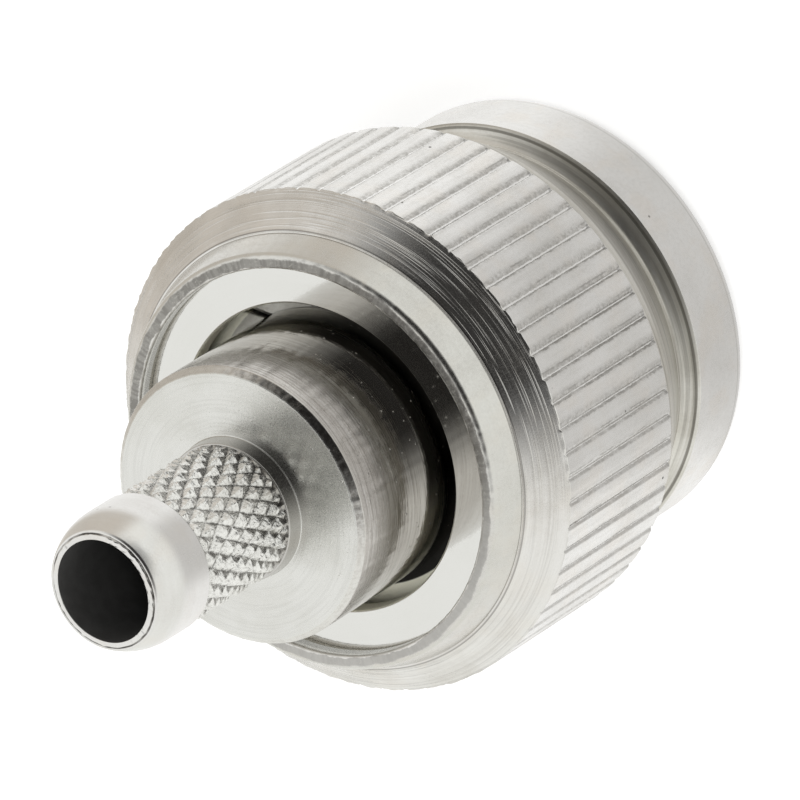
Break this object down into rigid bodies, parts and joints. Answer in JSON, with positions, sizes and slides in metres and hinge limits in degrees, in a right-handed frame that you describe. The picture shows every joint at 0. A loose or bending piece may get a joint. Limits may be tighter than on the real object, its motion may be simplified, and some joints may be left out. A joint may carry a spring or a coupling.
{
  "type": "tnc connector",
  "caption": "Threaded coaxial cable plug: knurled coupling nut turning on a turned body with a slotted outer contact, centre pin and diamond-knurled crimp post for the cable.",
  "frame": {"origin": "centre of the coupling nut's front rim, on the plane the plug stands on", "axes": "+Z along the plug's axis towards the cable end; X and Y across it, with X and Y free to choose on a round part"},
  "size_m": [0.015, 0.015, 0.0225],
  "materials": {
    "nut_nickel": "turned and knurled brass with bright nickel plating",
    "washer_nickel": "polished flat brass with nickel plating",
    "ring_bronze": "dull plated spring bronze",
    "body_nickel": "turned brass with bright nickel plating",
    "contact_nickel": "spring bronze with nickel plating",
    "insulator_ptfe": "waxy white fluoropolymer",
    "pin_gold": "thin gold plating over brass",
    "gasket_silicone": "matt silicone rubber"
  },
  "bodies": {
    "connector": {"connector_body": "body_nickel", "outer_contact": "contact_nickel", "insulator": "insulator_ptfe", "centre_contact": "pin_gold", "gasket": "gasket_silicone", "retaining_ring": "ring_bronze"},
    "washer": {"thrust_washer": "washer_nickel"},
    "nut": {"coupling_nut": "nut_nickel"}
  },
  "joints": [
    {"name": "coupling_float", "type": "slide", "parent": "connector", "child": "washer", "axis": [0, 0, 1], "range_m": [-0.00035, 0]},
    {"name": "coupling_spin", "type": "hinge", "parent": "washer", "child": "nut", "pos_m": [0, 0, 0.01157], "axis": [0, 0, 1], "continuous": true}
  ]
}
